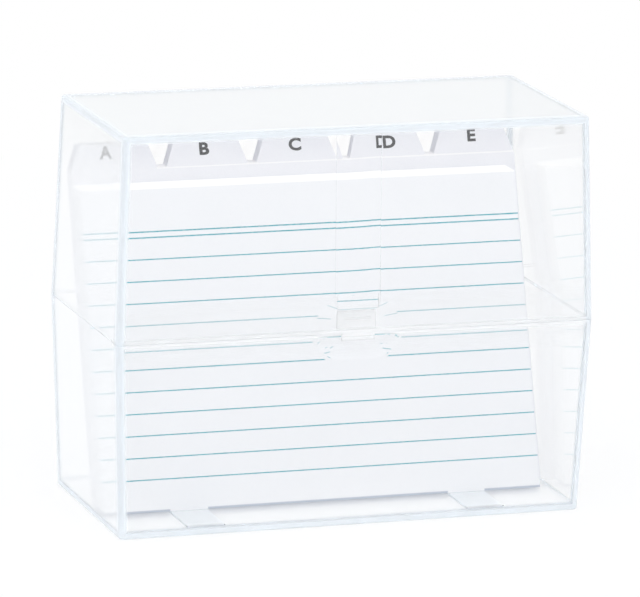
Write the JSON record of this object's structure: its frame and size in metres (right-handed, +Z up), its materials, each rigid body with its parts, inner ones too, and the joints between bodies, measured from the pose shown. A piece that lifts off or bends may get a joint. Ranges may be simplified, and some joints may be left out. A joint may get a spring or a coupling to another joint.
{
  "type": "index card box",
  "caption": "Clear hinged box for landscape index cards, with a leaning pack of ruled cards and a set of lettered tab guides.",
  "frame": {"origin": "centre of the row's footprint, on the flat underside", "axes": "+X to the right along the box's width, +Y from the front wall to the hinge side, +Z up"},
  "size_m": [0.1608, 0.0848, 0.131],
  "materials": {
    "clear_plastic": "clear polished crystal plastic",
    "pin_steel": "drawn wire",
    "card_paper": "matt, blue feint ruling",
    "guide_card": "smooth matt card"
  },
  "bodies": {
    "tray": {"base_shell": "clear_plastic", "hinge_pin_left": "pin_steel", "hinge_pin_right": "pin_steel"},
    "lid": {"lid_shell": "clear_plastic"},
    "record_pack_1": {"record_cards_1": "card_paper"},
    "record_pack_2": {"record_cards_2": "card_paper"},
    "record_pack_3": {"record_cards_3": "card_paper"},
    "record_pack_4": {"record_cards_4": "card_paper"},
    "index_a": {"guide_a": "guide_card"},
    "index_b": {"guide_b": "guide_card"},
    "index_c": {"guide_c": "guide_card"},
    "index_d": {"guide_d": "guide_card"},
    "index_e": {"guide_e": "guide_card"},
    "index_f": {"guide_f": "guide_card"},
    "index_g": {"guide_g": "guide_card"},
    "index_h": {"guide_h": "guide_card"},
    "index_i": {"guide_i": "guide_card"},
    "index_j": {"guide_j": "guide_card"},
    "index_k": {"guide_k": "guide_card"},
    "index_l": {"guide_l": "guide_card"},
    "index_m": {"guide_m": "guide_card"},
    "index_n": {"guide_n": "guide_card"},
    "index_o": {"guide_o": "guide_card"},
    "index_p": {"guide_p": "guide_card"},
    "index_q": {"guide_q": "guide_card"},
    "index_r": {"guide_r": "guide_card"},
    "index_s": {"guide_s": "guide_card"},
    "index_t": {"guide_t": "guide_card"},
    "index_u": {"guide_u": "guide_card"},
    "index_v": {"guide_v": "guide_card"},
    "index_w": {"guide_w": "guide_card"},
    "index_xy": {"guide_xy": "guide_card"},
    "index_z": {"guide_z": "guide_card"}
  },
  "joints": [
    {"name": "lid_hinge", "type": "hinge", "parent": "tray", "child": "lid", "pos_m": [0, 0.03847, 0.0643], "axis": [-1, 0, 0], "range_deg": [0, 105]},
    {"name": "record_pack_1_tilt", "type": "hinge", "parent": "tray", "child": "record_pack_1", "pos_m": [0, -0.01983, 0.0031], "axis": [1, 0, 0], "range_deg": [0, 28]},
    {"name": "record_pack_2_tilt", "type": "hinge", "parent": "tray", "child": "record_pack_2", "pos_m": [0, -0.01733, 0.0031], "axis": [1, 0, 0], "range_deg": [0, 28]},
    {"name": "record_pack_3_tilt", "type": "hinge", "parent": "tray", "child": "record_pack_3", "pos_m": [0, -0.01483, 0.0031], "axis": [1, 0, 0], "range_deg": [0, 28]},
    {"name": "record_pack_4_tilt", "type": "hinge", "parent": "tray", "child": "record_pack_4", "pos_m": [0, -0.01258, 0.0031], "axis": [1, 0, 0], "range_deg": [0, 28]},
    {"name": "index_a_tilt", "type": "hinge", "parent": "tray", "child": "index_a", "pos_m": [0, -0.01018, 0.0031], "axis": [1, 0, 0], "range_deg": [0, 26.37]},
    {"name": "index_b_tilt", "type": "hinge", "parent": "tray", "child": "index_b", "pos_m": [0, -0.00997, 0.0031], "axis": [1, 0, 0], "range_deg": [0, 25.33]},
    {"name": "index_c_tilt", "type": "hinge", "parent": "tray", "child": "index_c", "pos_m": [0, -0.00976, 0.0031], "axis": [1, 0, 0], "range_deg": [0, 24.3]},
    {"name": "index_d_tilt", "type": "hinge", "parent": "tray", "child": "index_d", "pos_m": [0, -0.00955, 0.0031], "axis": [1, 0, 0], "range_deg": [0, 23.26]},
    {"name": "index_e_tilt", "type": "hinge", "parent": "tray", "child": "index_e", "pos_m": [0, -0.00934, 0.0031], "axis": [1, 0, 0], "range_deg": [0, 22.23]},
    {"name": "index_f_tilt", "type": "hinge", "parent": "tray", "child": "index_f", "pos_m": [0, -0.00913, 0.0031], "axis": [1, 0, 0], "range_deg": [0, 21.19]},
    {"name": "index_g_tilt", "type": "hinge", "parent": "tray", "child": "index_g", "pos_m": [0, -0.00892, 0.0031], "axis": [1, 0, 0], "range_deg": [0, 20.15]},
    {"name": "index_h_tilt", "type": "hinge", "parent": "tray", "child": "index_h", "pos_m": [0, -0.00871, 0.0031], "axis": [1, 0, 0], "range_deg": [0, 19.12]},
    {"name": "index_i_tilt", "type": "hinge", "parent": "tray", "child": "index_i", "pos_m": [0, -0.0085, 0.0031], "axis": [1, 0, 0], "range_deg": [0, 18.08]},
    {"name": "index_j_tilt", "type": "hinge", "parent": "tray", "child": "index_j", "pos_m": [0, -0.00829, 0.0031], "axis": [1, 0, 0], "range_deg": [0, 17.05]},
    {"name": "index_k_tilt", "type": "hinge", "parent": "tray", "child": "index_k", "pos_m": [0, -0.00808, 0.0031], "axis": [1, 0, 0], "range_deg": [0, 16.01]},
    {"name": "index_l_tilt", "type": "hinge", "parent": "tray", "child": "index_l", "pos_m": [0, -0.00787, 0.0031], "axis": [1, 0, 0], "range_deg": [0, 14.97]},
    {"name": "index_m_tilt", "type": "hinge", "parent": "tray", "child": "index_m", "pos_m": [0, -0.00766, 0.0031], "axis": [1, 0, 0], "range_deg": [0, 13.94]},
    {"name": "index_n_tilt", "type": "hinge", "parent": "tray", "child": "index_n", "pos_m": [0, -0.00745, 0.0031], "axis": [1, 0, 0], "range_deg": [0, 12.9]},
    {"name": "index_o_tilt", "type": "hinge", "parent": "tray", "child": "index_o", "pos_m": [0, -0.00724, 0.0031], "axis": [1, 0, 0], "range_deg": [0, 11.87]},
    {"name": "index_p_tilt", "type": "hinge", "parent": "tray", "child": "index_p", "pos_m": [0, -0.00703, 0.0031], "axis": [1, 0, 0], "range_deg": [0, 10.83]},
    {"name": "index_q_tilt", "type": "hinge", "parent": "tray", "child": "index_q", "pos_m": [0, -0.00682, 0.0031], "axis": [1, 0, 0], "range_deg": [0, 9.79]},
    {"name": "index_r_tilt", "type": "hinge", "parent": "tray", "child": "index_r", "pos_m": [0, -0.00661, 0.0031], "axis": [1, 0, 0], "range_deg": [0, 8.76]},
    {"name": "index_s_tilt", "type": "hinge", "parent": "tray", "child": "index_s", "pos_m": [0, -0.0064, 0.0031], "axis": [1, 0, 0], "range_deg": [0, 7.72]},
    {"name": "index_t_tilt", "type": "hinge", "parent": "tray", "child": "index_t", "pos_m": [0, -0.00619, 0.0031], "axis": [1, 0, 0], "range_deg": [0, 6.69]},
    {"name": "index_u_tilt", "type": "hinge", "parent": "tray", "child": "index_u", "pos_m": [0, -0.00598, 0.0031], "axis": [1, 0, 0], "range_deg": [0, 5.65]},
    {"name": "index_v_tilt", "type": "hinge", "parent": "tray", "child": "index_v", "pos_m": [0, -0.00577, 0.0031], "axis": [1, 0, 0], "range_deg": [0, 4.61]},
    {"name": "index_w_tilt", "type": "hinge", "parent": "tray", "child": "index_w", "pos_m": [0, -0.00556, 0.0031], "axis": [1, 0, 0], "range_deg": [0, 3.58]},
    {"name": "index_xy_tilt", "type": "hinge", "parent": "tray", "child": "index_xy", "pos_m": [0, -0.00535, 0.0031], "axis": [1, 0, 0], "range_deg": [0, 2.54]},
    {"name": "index_z_tilt", "type": "hinge", "parent": "tray", "child": "index_z", "pos_m": [0, -0.00514, 0.0031], "axis": [1, 0, 0], "range_deg": [0, 1.51]}
  ],
  "couplings": [
    {"joint": "record_pack_2_tilt", "follows": "record_pack_1_tilt", "ratio": 0.988},
    {"joint": "record_pack_3_tilt", "follows": "record_pack_1_tilt", "ratio": 0.976},
    {"joint": "record_pack_4_tilt", "follows": "record_pack_1_tilt", "ratio": 0.964},
    {"joint": "index_a_tilt", "follows": "record_pack_1_tilt", "ratio": 0.94},
    {"joint": "index_b_tilt", "follows": "record_pack_1_tilt", "ratio": 0.903},
    {"joint": "index_c_tilt", "follows": "record_pack_1_tilt", "ratio": 0.866},
    {"joint": "index_d_tilt", "follows": "record_pack_1_tilt", "ratio": 0.829},
    {"joint": "index_e_tilt", "follows": "record_pack_1_tilt", "ratio": 0.792},
    {"joint": "index_f_tilt", "follows": "record_pack_1_tilt", "ratio": 0.755},
    {"joint": "index_g_tilt", "follows": "record_pack_1_tilt", "ratio": 0.718},
    {"joint": "index_h_tilt", "follows": "record_pack_1_tilt", "ratio": 0.681},
    {"joint": "index_i_tilt", "follows": "record_pack_1_tilt", "ratio": 0.644},
    {"joint": "index_j_tilt", "follows": "record_pack_1_tilt", "ratio": 0.607},
    {"joint": "index_k_tilt", "follows": "record_pack_1_tilt", "ratio": 0.57},
    {"joint": "index_l_tilt", "follows": "record_pack_1_tilt", "ratio": 0.533},
    {"joint": "index_m_tilt", "follows": "record_pack_1_tilt", "ratio": 0.496},
    {"joint": "index_n_tilt", "follows": "record_pack_1_tilt", "ratio": 0.459},
    {"joint": "index_o_tilt", "follows": "record_pack_1_tilt", "ratio": 0.422},
    {"joint": "index_p_tilt", "follows": "record_pack_1_tilt", "ratio": 0.385},
    {"joint": "index_q_tilt", "follows": "record_pack_1_tilt", "ratio": 0.348},
    {"joint": "index_r_tilt", "follows": "record_pack_1_tilt", "ratio": 0.311},
    {"joint": "index_s_tilt", "follows": "record_pack_1_tilt", "ratio": 0.274},
    {"joint": "index_t_tilt", "follows": "record_pack_1_tilt", "ratio": 0.237},
    {"joint": "index_u_tilt", "follows": "record_pack_1_tilt", "ratio": 0.2},
    {"joint": "index_v_tilt", "follows": "record_pack_1_tilt", "ratio": 0.163},
    {"joint": "index_w_tilt", "follows": "record_pack_1_tilt", "ratio": 0.126},
    {"joint": "index_xy_tilt", "follows": "record_pack_1_tilt", "ratio": 0.089},
    {"joint": "index_z_tilt", "follows": "record_pack_1_tilt", "ratio": 0.052}
  ]
}
